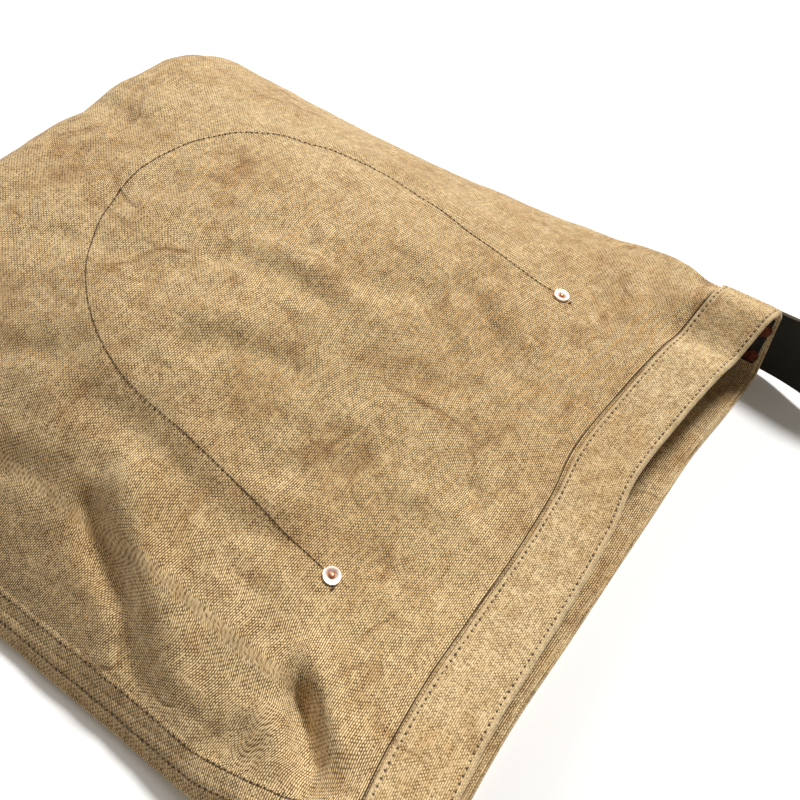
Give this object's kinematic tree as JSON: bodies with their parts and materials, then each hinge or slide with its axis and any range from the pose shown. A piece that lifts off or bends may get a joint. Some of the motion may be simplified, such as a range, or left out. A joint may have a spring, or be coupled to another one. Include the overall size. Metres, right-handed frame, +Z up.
{
  "type": "canvas shoulder bag",
  "caption": "Tan canvas shoulder bag with a wide hem band, a horseshoe inner pocket, copper rivets and a dark leather strap, lying on its back.",
  "frame": {"origin": "middle of the flat underside of the back panel, on the surface that the bag lies on", "axes": "+Z up from the surface, -Y out of the mouth towards the strap, +X to the side that is far from the viewer in the picture"},
  "size_m": [0.3612, 0.682, 0.091],
  "materials": {
    "canvas": "heavy plain-weave canvas, tan, washed",
    "leather": "smooth dark leather with raw cut edges",
    "copper": "plain copper rivets with burr washers"
  },
  "bodies": {
    "root": {"front_panel": "canvas", "back_panel": "canvas", "mouth_band": "canvas", "near_side_seam": "canvas", "inner_pocket": "canvas", "strap": "leather", "near_strap_patch": "leather", "far_strap_patch": "leather", "near_pocket_rivet": "copper", "far_pocket_rivet": "copper", "near_strap_rivet_1": "copper", "near_strap_rivet_2": "copper", "far_strap_rivet_1": "copper", "far_strap_rivet_2": "copper"}
  },
  "joints": []
}
